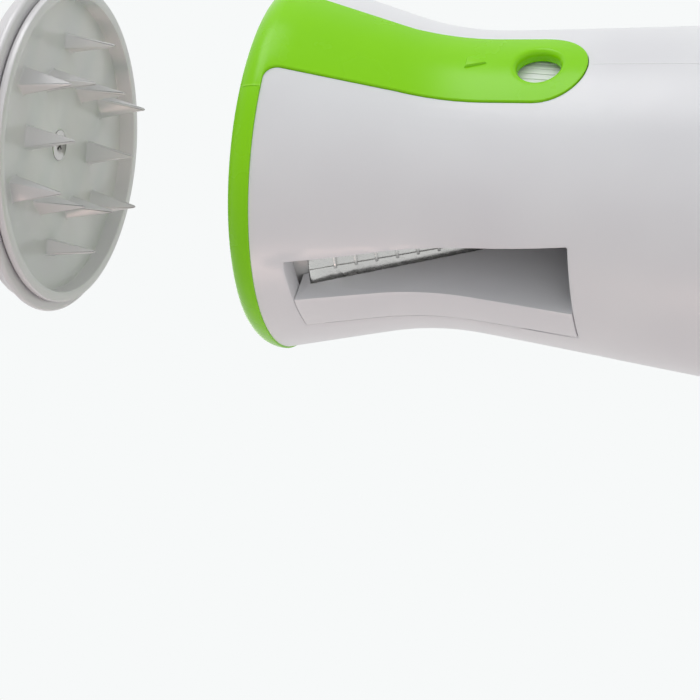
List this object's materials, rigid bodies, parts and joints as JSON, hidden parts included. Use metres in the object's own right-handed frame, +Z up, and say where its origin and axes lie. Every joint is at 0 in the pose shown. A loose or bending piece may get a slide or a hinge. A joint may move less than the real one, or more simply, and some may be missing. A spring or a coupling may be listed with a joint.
{
  "type": "hand-held spiralizer",
  "caption": "Hourglass hand-held spiralizer with a coloured collar and hanging eye, cutting cone, shred window and a cranked, spiked pusher raised off its mouth.",
  "frame": {"origin": "centre of the flat underside of the base cap, on the tool's axis", "axes": "+Z up the tool's axis from the base to the mouth and the pusher, +X through the middle of the hanging strip, -Y out of the shred window"},
  "size_m": [0.0895, 0.074, 0.2733],
  "materials": {
    "barrel_white": "fine satin moulded ABS",
    "cone_white": "polished moulded ABS",
    "pusher_white": "fine satin moulded ABS",
    "lime_green": "glossy moulded ABS",
    "bearing_acetal": "turned acetal",
    "blade_steel": "ground stainless steel",
    "fastener_steel": "bright zinc plate"
  },
  "bodies": {
    "root": {"barrel_shell": "barrel_white", "base_cap": "barrel_white", "collar": "lime_green", "cutting_cone": "cone_white", "window_insert": "barrel_white", "julienne_blade": "blade_steel", "slitting_comb": "blade_steel", "blade_screws": "fastener_steel"},
    "pusher": {"guard_ring": "pusher_white", "spindle_bush": "bearing_acetal"},
    "driver": {"spike_plate": "pusher_white", "spindle": "fastener_steel", "thrust_washer": "bearing_acetal", "retaining_clip": "fastener_steel", "plate_screw": "fastener_steel", "crank_arm": "pusher_white", "crank_screw": "fastener_steel", "crank_cap": "lime_green", "crank_pin": "fastener_steel"},
    "grip": {"crank_grip": "lime_green", "grip_cap": "lime_green"}
  },
  "joints": [
    {"name": "pusher_slide", "type": "slide", "parent": "root", "child": "pusher", "axis": [0, 0, 1], "range_m": [-0.0485, 0.06]},
    {"name": "crank_spin", "type": "hinge", "parent": "pusher", "child": "driver", "pos_m": [0, 0, 0.205], "axis": [0, 0, 1], "continuous": true},
    {"name": "grip_spin", "type": "hinge", "parent": "driver", "child": "grip", "pos_m": [0.042, 0, 0.245], "axis": [0, 0, 1], "continuous": true}
  ]
}
